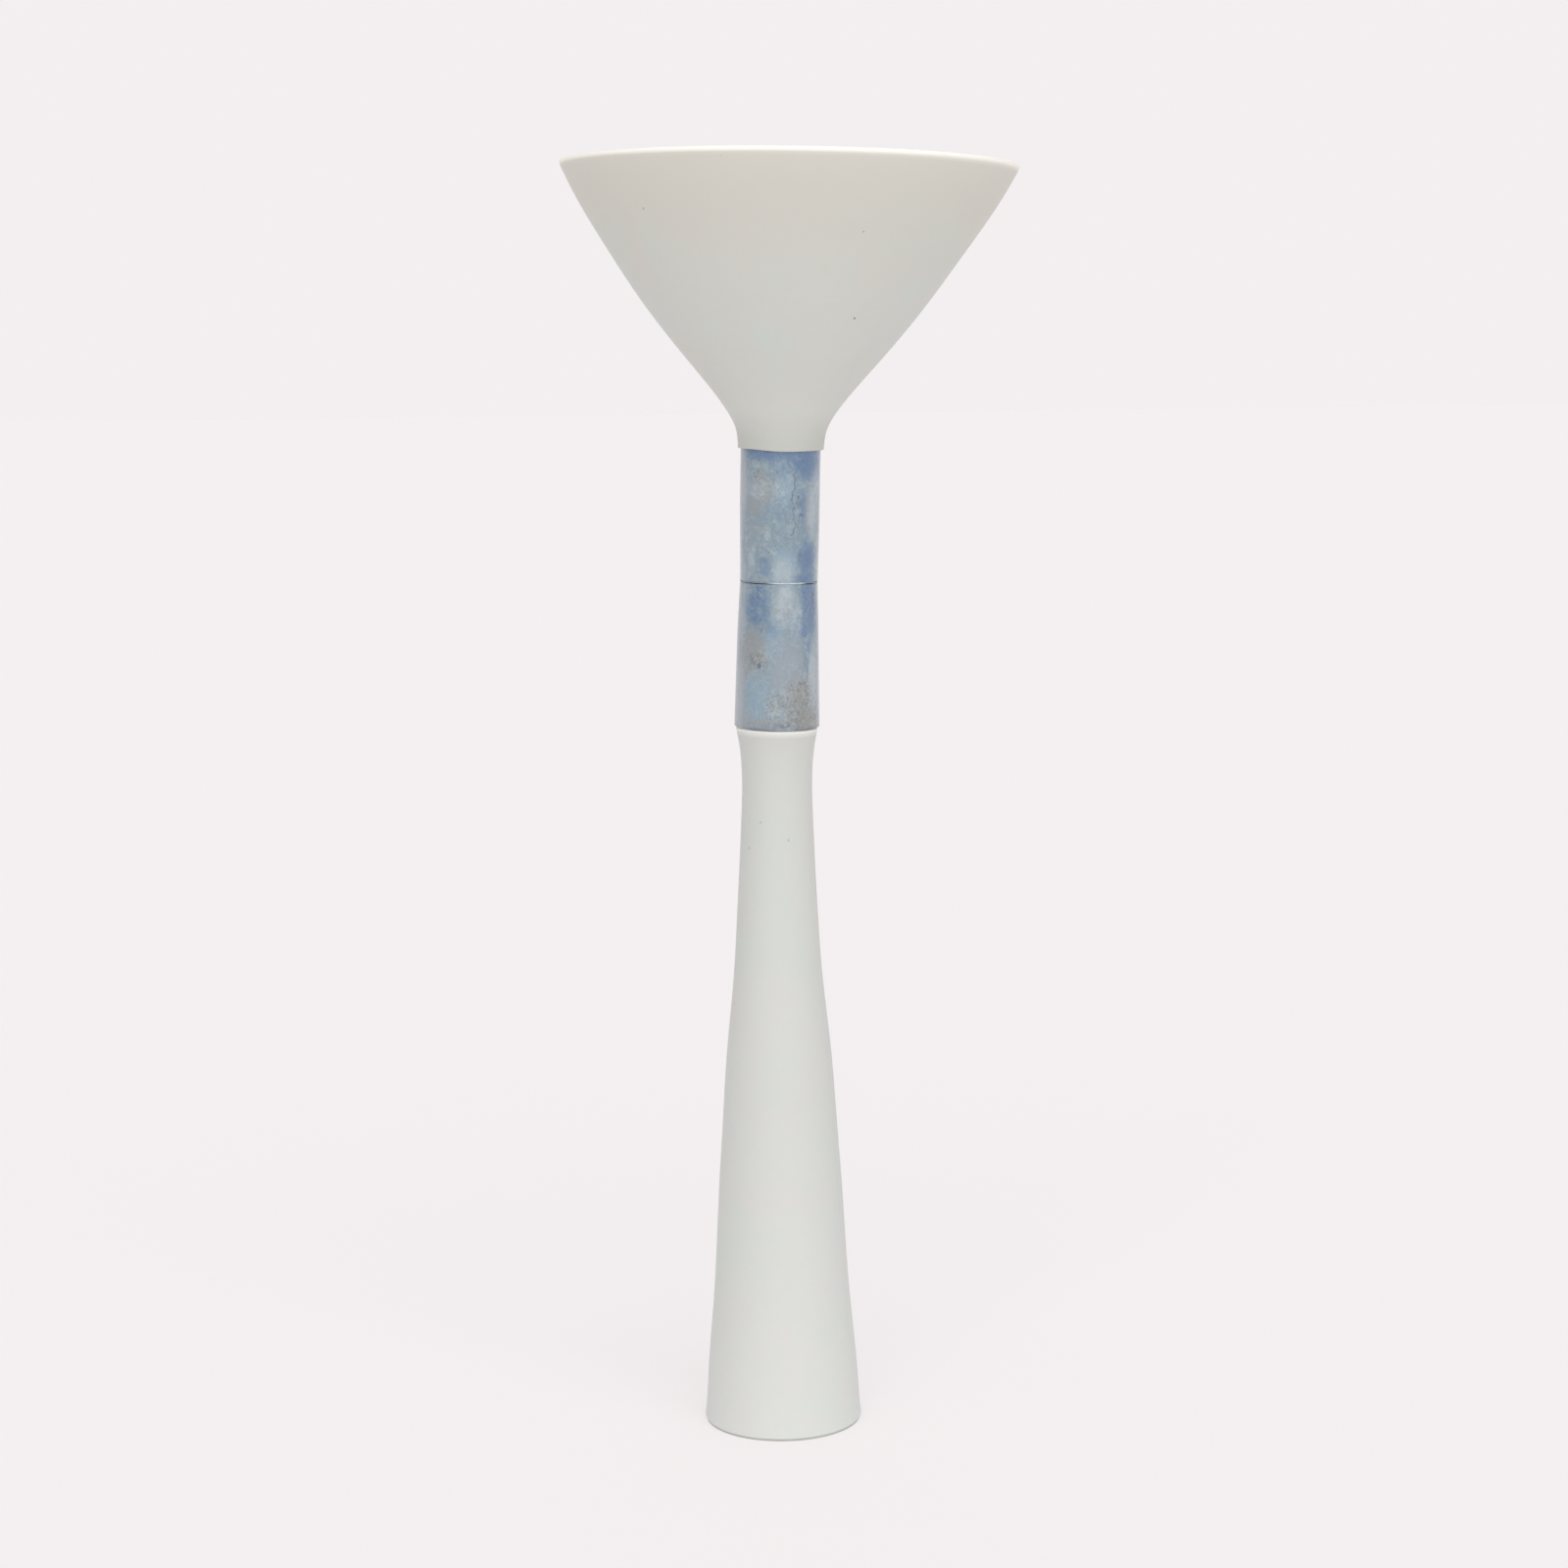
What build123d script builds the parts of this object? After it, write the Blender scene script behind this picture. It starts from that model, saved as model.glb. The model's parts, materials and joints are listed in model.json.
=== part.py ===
from build123d import *

import os
from math import cos, hypot, radians, sin, tan

# A tall porcelain funnel on a flared pedestal foot, stacked from loose pieces.
# Millimetres and degrees. +Z is up, and the origin is the centre of the foot's underside.
# The foot stands upright. Everything above it shares one axis, which leans a little towards +X,
# and the bowl leans a little more, because the porcelain moved in the kiln.
# Outlines are (share of the height, share of the flare) pairs, so they follow the sizes below.

# ---- drain stem ----
stem_bore_radius = 8.0
stem_wall = 3.0
stem_reach = 56.0  # how far the tip hangs below the foot's shoulder
stem_bevel = 45.0
flange_width = 4.0
flange_thickness = 3.0
flange_clearance = 0.5
throat_clearance = 0.3

# ---- rubber bung that centres the stem in the foot's neck ----
bung_length = 30.0
bung_wall = 3.4
bung_taper = 0.8  # how much its radius falls over its length
bung_clearance = 0.05
bung_lip_thickness = 3.0
bung_lip_inset = 0.5
vent_width = 3.0
vent_depth = 1.6

# ---- what locates the sleeves ----
spigot_height = 14.0
spigot_wall = 2.75
register_depth = 12.0  # how far the upper sleeve's register reaches into the lower sleeve
register_root = 6.0  # how far the register's wall runs up inside the upper sleeve
register_wall = 2.25
seat_clearance = 0.25  # radial gap of every loose porcelain seat

# ---- sleeves: each outside radius is the seam's plus a swell ----
stack_lean = 1.5
stack_shift = 0.9  # sideways offset of the leaning axis where it leaves the foot
sleeve_length = 76.6
sleeve_wall = 3.3  # at the seam
lower_sleeve_foot_swell = 2.0
lower_sleeve_belly_swell = 1.2
upper_sleeve_belly_swell = 0.35
upper_sleeve_top_swell = 0.5
sleeve_edge_round = 0.5

# ---- gasket rings ----
ring_thickness = 0.8
ring_inset = 0.8  # hidden rings stand back from the porcelain's face
turn_clearance = 0.1  # the bowl turns on the collar ring
seam_ring_inset = 0.2

# ---- foot ----
pad_thickness = 1.0
pad_inset = 0.8  # the pad's edge stands back from the foot's edge
foot_height = 383.0  # table to the shoulder that carries the sleeves
foot_base_radius = 43.0
foot_waist_share = 0.92  # height of the waist, as a share of foot_height
foot_outline = [(0.10, 0.87), (0.26, 0.68), (0.42, 0.525), (0.54, 0.385), (0.67, 0.19), (0.79, 0.08)]
foot_wall = 3.5
foot_shoulder = 4.5  # width of the shoulder round the sleeve's bore
foot_land = 3.0  # upright band under the shoulder
neck_wall = 4.2  # porcelain round the bung at the waist
neck_length = 20.0  # depth of the neck's bore below the shoulder
floor_thickness = 5.0
foot_edge_round = 0.8

# ---- ballast under the foot's floor ----
ballast_height = 32.0
ballast_clearance = 1.5
ballast_chamfer = 1.5
chamber_wall = 4.0

# ---- funnel bowl ----
bowl_lean = 0.7  # on top of the stack's lean
bowl_height = 146.3  # collar edge to rim
rim_radius = 120.8
bowl_outline = [
    (0.055, 0.009),
    (0.132, 0.068),
    (0.214, 0.162),
    (0.337, 0.319),
    (0.501, 0.516),
    (0.706, 0.731),
    (0.911, 0.926),
]
bowl_wall = 3.0
rim_wall = 2.2
rim_round_share = 0.45  # the rim's two edges are rounded by this share of its wall
collar_wall = 1.25
collar_land = 2.0  # upright band at the collar's edge
collar_edge_round = 0.5
socket_overlap = 6.1  # how far the upper sleeve stands inside the collar
throat_web = 5.0  # porcelain between the socket and the stem's flange

# ---- perforated filter plate ----
plate_seat_height = 40.0  # above the collar's edge
plate_thickness = 5.0
plate_clearance = 0.5
ledge_width = 3.5
hole_radius = 1.25
hole_pitch = 6.0
plate_margin = 5.0  # plain band round the holes

# ---- levels along the leaning axis, counted from the foot's shoulder ----
lower_sleeve_base = ring_thickness
seam_level = lower_sleeve_base + sleeve_length
upper_sleeve_base = seam_level + ring_thickness
upper_sleeve_top = upper_sleeve_base + sleeve_length
socket_ceiling = upper_sleeve_top + ring_thickness + turn_clearance
collar_level = upper_sleeve_top - socket_overlap
throat_level = socket_ceiling + throat_web
flange_level = throat_level + ring_thickness
stem_top = flange_level + flange_thickness
bung_top = spigot_height + bung_lip_thickness
bung_bottom = spigot_height - bung_length

# ---- radii, from the drain outwards ----
stem_radius = stem_bore_radius + stem_wall
flange_radius = stem_radius + flange_width
throat_radius = stem_radius + throat_clearance
bung_bore_radius = stem_radius + bung_clearance
bung_radius = bung_bore_radius + bung_wall
neck_bore_radius = bung_radius + bung_clearance
spigot_radius = neck_bore_radius + spigot_wall
sleeve_bore_radius = spigot_radius + seat_clearance
sleeve_seam_radius = sleeve_bore_radius + sleeve_wall
lower_sleeve_foot_radius = sleeve_seam_radius + lower_sleeve_foot_swell
lower_sleeve_belly_radius = sleeve_seam_radius + lower_sleeve_belly_swell
upper_sleeve_belly_radius = sleeve_seam_radius + upper_sleeve_belly_swell
upper_sleeve_top_radius = sleeve_seam_radius + upper_sleeve_top_swell
socket_radius = upper_sleeve_top_radius + seat_clearance
collar_radius = socket_radius + collar_wall
foot_waist_radius = neck_bore_radius + neck_wall
foot_top_radius = sleeve_bore_radius + foot_shoulder

# ---- heights inside the foot ----
chamber_top = pad_thickness + ballast_height + ballast_clearance
floor_top = chamber_top + floor_thickness
trim = 3.0  # blanks are made this much too long, then cut square to the leaning axis


def leaning_plane(origin, lean):
    """The plane that holds a leaning axis: its x runs outwards and its y up along the axis."""
    outwards = (cos(radians(lean)), 0, -sin(radians(lean)))
    return Plane(origin=origin, x_dir=outwards, z_dir=(0, -1, 0))


def along(plane, height):
    """The point at a height on a leaning plane's axis."""
    return plane.from_local_coords((0, height, 0))


def axis_of(plane):
    return Axis(plane.origin, plane.y_dir)


def across(plane, height):
    """The plane square to a leaning plane's axis, at a height along it."""
    return Plane(origin=along(plane, height), x_dir=plane.x_dir, z_dir=plane.y_dir)


def outline(shares, low_radius, high_radius, height):
    """(radius, height) points from (share of height, share of flare) pairs."""
    flare = high_radius - low_radius
    return [(low_radius + flare * grown, height * up) for up, grown in shares]


def inset(points, walls):
    """Points moved inwards along the outline's normal, each by its own wall."""
    moved = []
    for i, ((radius, height), wall) in enumerate(zip(points, walls)):
        before, after = points[max(i - 1, 0)], points[min(i + 1, len(points) - 1)]
        run, rise = after[0] - before[0], after[1] - before[1]
        length = hypot(run, rise)
        moved.append((radius - wall * rise / length, height + wall * run / length))
    return moved


def radius_at(points, height):
    """The outline's radius at a height, between the two points beside it."""
    for (low_radius, low), (high_radius, high) in zip(points, points[1:]):
        if low <= height <= high:
            return low_radius + (high_radius - low_radius) * (height - low) / (high - low)
    raise ValueError("the height is outside the outline")


def turn(plane, points, mode=Mode.ADD):
    """Turns a straight-sided outline about a leaning axis, into the part that is being built."""
    with BuildSketch(plane) as profile:
        with BuildLine():
            Polyline(*points, close=True)
        make_face()
    revolve(profile.sketch, axis=axis_of(plane), mode=mode)


def turn_ring(plane, inner, outer, low, high, mode=Mode.ADD):
    """Turns a flat-sided ring, or a disc when its inner radius is 0."""
    turn(plane, [(inner, low), (outer, low), (outer, high), (inner, high)], mode)


def turn_sleeve(base, foot_radius, belly_radius, top_radius):
    """Turns one sleeve's tube: its outside is one shallow arc with rounded ends."""
    top = base + sleeve_length
    with BuildSketch(stack) as profile:
        with BuildLine():
            side = ThreePointArc(
                (foot_radius, base),
                (belly_radius, (base + top) / 2),
                (top_radius, top),
            )
            Polyline(side @ 1, (sleeve_bore_radius, top), (sleeve_bore_radius, base), side @ 0)
        make_face()
        fillet(profile.vertices().sort_by(Axis.X)[-2:], sleeve_edge_round)
    revolve(profile.sketch, axis=axis_of(stack))


upright = Plane.XZ
stack = leaning_plane((stack_shift, 0, foot_height), stack_lean)
bowl = leaning_plane(along(stack, collar_level), stack_lean + bowl_lean)

foot_points = [
    (foot_base_radius, pad_thickness),
    *outline(foot_outline, foot_waist_radius, foot_base_radius, foot_height),
    (foot_waist_radius, foot_height * foot_waist_share),
    (foot_top_radius, foot_height - foot_land),
]
cavity_points = [(radius - foot_wall, height) for radius, height in foot_points[:-1]]
chamber_radius = radius_at(foot_points, chamber_top) - chamber_wall

bowl_points = [
    (collar_radius, collar_land),
    *outline(bowl_outline, collar_radius, rim_radius, bowl_height),
    (rim_radius, bowl_height),
]
rim_slope = (bowl_points[-1][0] - bowl_points[-2][0]) / (bowl_points[-1][1] - bowl_points[-2][1])
bowl_points.append((rim_radius + trim * rim_slope, bowl_height + trim))
bowl_inner_points = inset(bowl_points, [bowl_wall] * (len(bowl_points) - 2) + [rim_wall] * 2)
plate_seat_radius = radius_at(bowl_inner_points, plate_seat_height)
plate_top_radius = radius_at(bowl_inner_points, plate_seat_height + plate_thickness)


# ---- foot pad: white silicone disc glued under the foot ----
with BuildPart() as foot_pad:
    turn_ring(upright, 0, foot_base_radius - pad_inset, 0, pad_thickness)

# ---- ballast: cast-iron disc in the chamber under the foot's floor, resting on the pad ----
with BuildPart() as ballast_disc:
    ballast_top = pad_thickness + ballast_height
    turn_ring(upright, 0, chamber_radius - ballast_clearance, pad_thickness, ballast_top)
    chamfer(ballast_disc.edges().filter_by(GeomType.CIRCLE), ballast_chamfer)

# ---- pedestal foot: porcelain tube with a floor, a shoulder and a spigot ----
with BuildPart() as pedestal_foot:
    with BuildSketch(upright):
        with BuildLine():
            side = Spline(*foot_points)
            blank_top = foot_height + trim
            Polyline(
                side @ 1,
                (foot_top_radius, blank_top),
                (0, blank_top),
                (0, pad_thickness),
                side @ 0,
            )
        make_face()
    revolve(axis=Axis.Z)
    split(bisect_by=across(stack, 0), keep=Keep.BOTTOM)
    fillet(pedestal_foot.edges().sort_by(Axis.Z)[-1], foot_edge_round)
    fillet(pedestal_foot.edges().sort_by(Axis.Z)[0], foot_edge_round)
    with BuildSketch(upright):
        with BuildLine():
            cavity_side = Spline(*cavity_points)
            cavity_top = foot_height - neck_length
            Polyline(
                cavity_side @ 1,
                (foot_waist_radius - foot_wall, cavity_top),
                (0, cavity_top),
                (0, pad_thickness),
                cavity_side @ 0,
            )
        make_face()
        with Locations((0, pad_thickness)):
            Rectangle(
                foot_base_radius,
                floor_top - pad_thickness,
                align=(Align.MIN, Align.MIN),
                mode=Mode.SUBTRACT,
            )
    revolve(axis=Axis.Z, mode=Mode.SUBTRACT)
    turn_ring(upright, 0, chamber_radius, pad_thickness, chamber_top, Mode.SUBTRACT)
    turn_ring(stack, neck_bore_radius, spigot_radius, -trim, spigot_height)
    turn_ring(stack, 0, neck_bore_radius, -neck_length - trim, spigot_height, Mode.SUBTRACT)

# ---- neck bung: tapered rubber with a lip on the spigot and a vent groove down one side ----
with BuildPart() as neck_bung:
    turn(
        stack,
        [
            (bung_bore_radius, bung_bottom),
            (bung_radius - bung_taper, bung_bottom),
            (bung_radius, spigot_height),
            (spigot_radius - bung_lip_inset, spigot_height),
            (spigot_radius - bung_lip_inset, bung_top),
            (bung_bore_radius, bung_top),
        ],
    )
    with BuildSketch(across(stack, bung_bottom)):
        with Locations((0, bung_radius - bung_taper - vent_depth)):
            Rectangle(vent_width, neck_bore_radius, align=(Align.CENTER, Align.MIN))
    extrude(amount=bung_top - bung_bottom, mode=Mode.SUBTRACT)

# ---- lower seat ring: cushion on the foot's shoulder ----
with BuildPart() as lower_seat_ring:
    turn_ring(stack, sleeve_bore_radius, foot_top_radius - ring_inset, 0, ring_thickness)

# ---- lower sleeve: blue porcelain tube over the foot's spigot ----
with BuildPart() as lower_sleeve:
    turn_sleeve(
        lower_sleeve_base,
        lower_sleeve_foot_radius,
        lower_sleeve_belly_radius,
        sleeve_seam_radius,
    )

# ---- seam ring: white ring between the sleeves ----
with BuildPart() as seam_ring:
    seam_ring_radius = sleeve_seam_radius - seam_ring_inset
    turn_ring(stack, sleeve_bore_radius, seam_ring_radius, seam_level, upper_sleeve_base)

# ---- upper sleeve: blue porcelain tube with a register that drops into the lower sleeve ----
with BuildPart() as upper_sleeve:
    turn_sleeve(
        upper_sleeve_base,
        sleeve_seam_radius,
        upper_sleeve_belly_radius,
        upper_sleeve_top_radius,
    )
    register_radius = sleeve_bore_radius - seat_clearance
    register_top = upper_sleeve_base + register_root
    turn(
        stack,
        [
            (register_radius - register_wall, upper_sleeve_base - register_depth),
            (register_radius, upper_sleeve_base - register_depth),
            (register_radius, upper_sleeve_base),
            (sleeve_bore_radius, upper_sleeve_base),
            (sleeve_bore_radius, register_top),
            (register_radius - register_wall, register_top),
        ],
    )

# ---- collar ring: gasket between the upper sleeve and the bowl's socket ----
with BuildPart() as collar_ring:
    collar_ring_radius = upper_sleeve_top_radius - ring_inset
    collar_ring_top = upper_sleeve_top + ring_thickness
    turn_ring(stack, sleeve_bore_radius, collar_ring_radius, upper_sleeve_top, collar_ring_top)

# ---- funnel bowl: thin porcelain cone with a collar, a socket and a ledge for the plate ----
with BuildPart() as funnel_bowl:
    floor_height = stem_top - collar_level
    with BuildSketch(bowl):
        with BuildLine():
            side = Spline(*bowl_points)
            Polyline(side @ 1, (0, bowl_points[-1][1]), (0, -trim), (collar_radius, -trim), side @ 0)
        make_face()
    revolve(axis=axis_of(bowl))
    split(bisect_by=across(stack, collar_level), keep=Keep.TOP)
    fillet(funnel_bowl.edges().sort_by(axis_of(stack))[0], collar_edge_round)
    with BuildSketch(bowl):
        with BuildLine():
            inner_side = Spline(*bowl_inner_points)
            mouth = bowl_inner_points[-1][1] + trim
            Polyline(
                inner_side @ 1,
                (bowl_inner_points[-1][0], mouth),
                (0, mouth),
                (0, bowl_inner_points[0][1]),
                inner_side @ 0,
            )
        make_face()
        with Locations((plate_seat_radius - ledge_width, 0)):
            Rectangle(rim_radius, plate_seat_height, align=(Align.MIN, Align.MIN), mode=Mode.SUBTRACT)
        Rectangle(rim_radius, floor_height, align=(Align.MIN, Align.MIN), mode=Mode.SUBTRACT)
    revolve(axis=axis_of(bowl), mode=Mode.SUBTRACT)
    split(bisect_by=across(stack, collar_level + bowl_height), keep=Keep.BOTTOM)
    fillet(funnel_bowl.edges().sort_by(axis_of(stack))[-2:], rim_wall * rim_round_share)
    turn_ring(stack, 0, socket_radius, collar_level - trim, socket_ceiling, Mode.SUBTRACT)
    turn_ring(stack, 0, throat_radius, socket_ceiling, throat_level, Mode.SUBTRACT)
    recess_radius = flange_radius + flange_clearance
    turn_ring(stack, 0, recess_radius, throat_level, stem_top + trim, Mode.SUBTRACT)

# ---- stem washer: rubber ring between the stem's flange and the throat ----
with BuildPart() as stem_washer:
    turn_ring(stack, throat_radius, flange_radius, throat_level, flange_level)

# ---- drain stem: flanged porcelain tube with a bevelled tip ----
with BuildPart() as drain_stem:
    turn(
        stack,
        [
            (stem_bore_radius, -stem_reach),
            (stem_radius, -stem_reach),
            (stem_radius, flange_level),
            (flange_radius, flange_level),
            (flange_radius, stem_top),
            (stem_bore_radius, stem_top),
        ],
    )
    tip_centre = along(stack, stem_radius * tan(radians(stem_bevel)) - stem_reach)
    bevel = leaning_plane(tip_centre, stack_lean + stem_bevel)
    split(bisect_by=across(bevel, 0), keep=Keep.TOP)

# ---- filter plate: loose perforated disc whose bevelled edge follows the cone ----
with BuildPart() as filter_plate:
    plate_top = plate_seat_height + plate_thickness
    turn(
        bowl,
        [
            (0, plate_seat_height),
            (plate_seat_radius - plate_clearance, plate_seat_height),
            (plate_top_radius - plate_clearance, plate_top),
            (0, plate_top),
        ],
    )
    hole_rings = int((plate_seat_radius - plate_margin) / hole_pitch)
    with BuildSketch(across(bowl, plate_seat_height)):
        Circle(hole_radius)
        for ring in range(1, hole_rings + 1):
            with PolarLocations(ring * hole_pitch, 6 * ring):
                Circle(hole_radius)
    extrude(amount=plate_thickness, mode=Mode.SUBTRACT)

pieces = {
    "foot_pad": foot_pad,
    "ballast_disc": ballast_disc,
    "pedestal_foot": pedestal_foot,
    "neck_bung": neck_bung,
    "lower_seat_ring": lower_seat_ring,
    "lower_sleeve": lower_sleeve,
    "seam_ring": seam_ring,
    "upper_sleeve": upper_sleeve,
    "collar_ring": collar_ring,
    "funnel_bowl": funnel_bowl,
    "stem_washer": stem_washer,
    "drain_stem": drain_stem,
    "filter_plate": filter_plate,
}
os.makedirs("parts", exist_ok=True)
for name, piece in pieces.items():
    piece.part.label = name
    export_step(piece.part, f"parts/{name}.step")
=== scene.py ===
import json
import math

import bpy
import numpy as np
from mathutils import Matrix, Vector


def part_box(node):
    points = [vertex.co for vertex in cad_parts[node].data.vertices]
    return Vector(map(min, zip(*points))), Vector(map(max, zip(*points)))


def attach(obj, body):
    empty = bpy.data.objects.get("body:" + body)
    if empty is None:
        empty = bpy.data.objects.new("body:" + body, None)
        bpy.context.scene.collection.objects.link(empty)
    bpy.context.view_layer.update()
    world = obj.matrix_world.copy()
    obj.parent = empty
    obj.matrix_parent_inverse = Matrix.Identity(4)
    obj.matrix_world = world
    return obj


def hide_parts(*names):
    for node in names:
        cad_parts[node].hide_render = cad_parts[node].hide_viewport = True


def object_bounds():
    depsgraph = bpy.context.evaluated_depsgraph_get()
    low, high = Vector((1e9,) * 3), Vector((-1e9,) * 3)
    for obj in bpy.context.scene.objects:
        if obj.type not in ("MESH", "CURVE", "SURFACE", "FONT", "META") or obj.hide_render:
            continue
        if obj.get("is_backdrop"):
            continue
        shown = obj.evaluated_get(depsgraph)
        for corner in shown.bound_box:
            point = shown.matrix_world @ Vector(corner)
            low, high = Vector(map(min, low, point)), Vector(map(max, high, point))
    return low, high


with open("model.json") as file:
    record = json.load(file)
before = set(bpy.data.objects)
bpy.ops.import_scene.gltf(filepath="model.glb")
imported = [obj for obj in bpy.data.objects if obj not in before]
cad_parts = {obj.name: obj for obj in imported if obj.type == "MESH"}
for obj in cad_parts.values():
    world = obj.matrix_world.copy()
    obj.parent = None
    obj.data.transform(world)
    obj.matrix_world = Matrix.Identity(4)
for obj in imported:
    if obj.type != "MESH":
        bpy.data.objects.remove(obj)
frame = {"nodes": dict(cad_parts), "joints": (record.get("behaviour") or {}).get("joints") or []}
cad_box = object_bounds()

# A tall slip-cast porcelain funnel: a cream cone on two blue-stained sleeves on a white flared foot.
# Lengths are in millimetres until a mesh is filled, and heights on the leaning stack are counted
# from the foot's shoulder. Angles run round the axis from +X, so the front, -Y, is at -90 degrees.
MM = 0.001
FRONT = -math.pi / 2

# ---------------------------------------------------------------- sizes and places, from the frame
joints = {joint["name"]: joint for joint in frame["joints"]}


def span(node):
    """Lowest and highest corner of a CAD node, in millimetres."""
    low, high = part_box(node)
    return np.array(low) / MM, np.array(high) / MM


stack_up = np.array(joints["funnel_lift"]["axis"])
stack_lean = math.atan2(stack_up[0], stack_up[2])
stack_out = np.array([math.cos(stack_lean), 0.0, -math.sin(stack_lean)])
turn_point = np.array(joints["funnel_turn"]["pos_m"]) / MM

# The seats' heights, as the stack was built up: ring, sleeve, ring, sleeve, ring, socket.
ring_thickness = 0.8
sleeve_length = 76.6
turn_clearance = 0.1
socket_overlap = 6.1
throat_web = 5.0
flange_thickness = 3.0
floor_thickness = 5.0
seam_level = ring_thickness + sleeve_length
upper_base = seam_level + ring_thickness
upper_top = upper_base + sleeve_length
socket_ceiling = upper_top + ring_thickness + turn_clearance
collar_level = upper_top - socket_overlap
throat_level = socket_ceiling + throat_web
recess_top = throat_level + ring_thickness + flange_thickness
shoulder = turn_point - socket_ceiling * stack_up  # where the leaning axis leaves the foot

foot_base_radius = (span("pedestal_foot")[1][1] - span("pedestal_foot")[0][1]) / 2
pad_top = span("foot_pad")[1][2]
sleeve_bore = 17.5
sleeve_radius = 21.5  # the sleeves' usual outside radius, which unrolls degrees into millimetres
seam_radius = 20.8
bend_start = 250.0  # height on the foot where its axis starts to lean over
rim_radius = span("funnel_bowl")[1][1]


# ---------------------------------------------------------------- shape tools
def smooth_curve(points, count):
    """A natural cubic spline through (x, y) points, as count points even in chord length.
    Each span is a cubic whose second derivative runs straight from one point's to the next's."""
    points = np.array(points, float)
    chord = np.hypot(*np.diff(points, axis=0).T)
    t = np.concatenate([[0], np.cumsum(chord)])
    n = len(t)
    system = np.eye(n)
    right = np.zeros((n, points.shape[1]))
    inner = np.arange(1, n - 1)
    system[inner, inner] = 2 * (chord[:-1] + chord[1:])
    system[inner, inner - 1] = chord[:-1]
    system[inner, inner + 1] = chord[1:]
    slope = np.diff(points, axis=0) / chord[:, None]
    right[1:-1] = 6 * np.diff(slope, axis=0)
    bend = np.linalg.solve(system, right)
    at = np.linspace(0, t[-1], count)
    k = np.clip(np.searchsorted(t, at, side="right") - 1, 0, n - 2)
    a, b, h = (at - t[k])[:, None], (t[k + 1] - at)[:, None], chord[k][:, None]
    return (
        bend[k] * b**3 / (6 * h)
        + bend[k + 1] * a**3 / (6 * h)
        + (points[k] / h - bend[k] * h / 6) * b
        + (points[k + 1] / h - bend[k + 1] * h / 6) * a
    )


def rounded(points, radii, steps=5):
    """A polyline whose corner i is replaced by an arc of radius radii[i], or kept where that is 0."""
    made = []
    count = len(points)
    for i, (corner, radius) in enumerate(zip(points, radii)):
        corner = np.array(corner, float)
        if radius == 0:
            made.append(corner)
            continue
        back = np.array(points[i - 1], float) - corner
        ahead = np.array(points[(i + 1) % count], float) - corner
        back, ahead = back / np.hypot(*back), ahead / np.hypot(*ahead)
        half = math.acos(np.clip(back @ ahead, -1, 1)) / 2
        middle = corner + (back + ahead) / np.hypot(*(back + ahead)) * radius / math.sin(half)
        first = corner + back * radius / math.tan(half) - middle
        last = corner + ahead * radius / math.tan(half) - middle
        sweep = math.pi - 2 * half
        for s in np.linspace(0, 1, steps):
            arm = (math.sin((1 - s) * sweep) * first + math.sin(s * sweep) * last) / math.sin(sweep)
            made.append(middle + arm)
    return np.array(made)


def spread(points, longest):
    """The same polyline with points added, so that no side is longer than longest."""
    made = [points[0]]
    for start, end in zip(points, points[1:]):
        count = max(1, math.ceil(np.hypot(*(end - start)) / longest))
        made.extend(start + (end - start) * step / count for step in range(1, count + 1))
    return np.array(made)


def ease(x):
    """0 below 0, 1 above 1, and 3x^2 - 2x^3 between them."""
    x = np.clip(x, 0, 1)
    return x * x * (3 - 2 * x)


def on_stack(radius, angle, height, drift=0.0):
    """A point on the leaning stack: height along its axis, radius round it, drift sideways."""
    out = radius * np.cos(angle) + drift
    side = radius * np.sin(angle)
    return (
        shoulder
        + height[..., None] * stack_up
        + out[..., None] * stack_out
        + side[..., None] * np.array([0.0, 1.0, 0.0])
    )


def on_foot(radius, angle, height):
    """A point on the foot: its axis is upright, then eases over to the stack's lean at the neck."""
    bend = ease((height - bend_start) / (shoulder[2] - bend_start))
    over = np.maximum(height - shoulder[2], 0)
    lean = stack_lean * bend
    out = radius * np.cos(angle)
    x = shoulder[0] * bend + over * math.sin(stack_lean) + out * np.cos(lean)
    z = np.minimum(height, shoulder[2]) + over * math.cos(stack_lean) - out * np.sin(lean)
    return np.stack([x, radius * np.sin(angle), z], axis=-1)


def turned(outline, around, place, shape=None, poles=False):
    """A turned surface: point (i, j) has the outline's radius and height j at angle i, changed by
    shape(radius, angle, height) and put in space by place. The outline is a closed loop, or with
    poles an open line whose two ends lie on the axis and are each closed by one point."""
    outline = np.array(outline, float)
    angle = np.linspace(0, 2 * math.pi, around, endpoint=False)[:, None]
    ring = outline[1:-1] if poles else outline
    radius, height = np.broadcast_arrays(ring[:, 0][None, :], ring[:, 1][None, :])
    angle, radius, height = np.broadcast_arrays(angle, radius, height)
    if shape:
        radius, height = shape(radius, angle, height)
    points = place(radius, angle, height).reshape(-1, 3)
    count = ring.shape[0]
    i, j = np.meshgrid(np.arange(around), np.arange(count - poles), indexing="ij")
    i2, j2 = (i + 1) % around, (j + 1) % count
    quads = np.stack([i * count + j, i2 * count + j, i2 * count + j2, i * count + j2], axis=-1)
    faces = quads.reshape(-1, 4).tolist()
    if poles:
        ends = place(np.zeros(2), np.zeros(2), outline[[0, -1], 1])
        points = np.vstack([points, ends])
        turn = np.arange(around)
        after = (turn + 1) % around
        low = np.full(around, around * count)
        faces += np.stack([low, after * count, turn * count], axis=-1).tolist()
        top = count - 1
        faces += np.stack([low + 1, turn * count + top, after * count + top], axis=-1).tolist()
    return points, faces, angle, height


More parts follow.
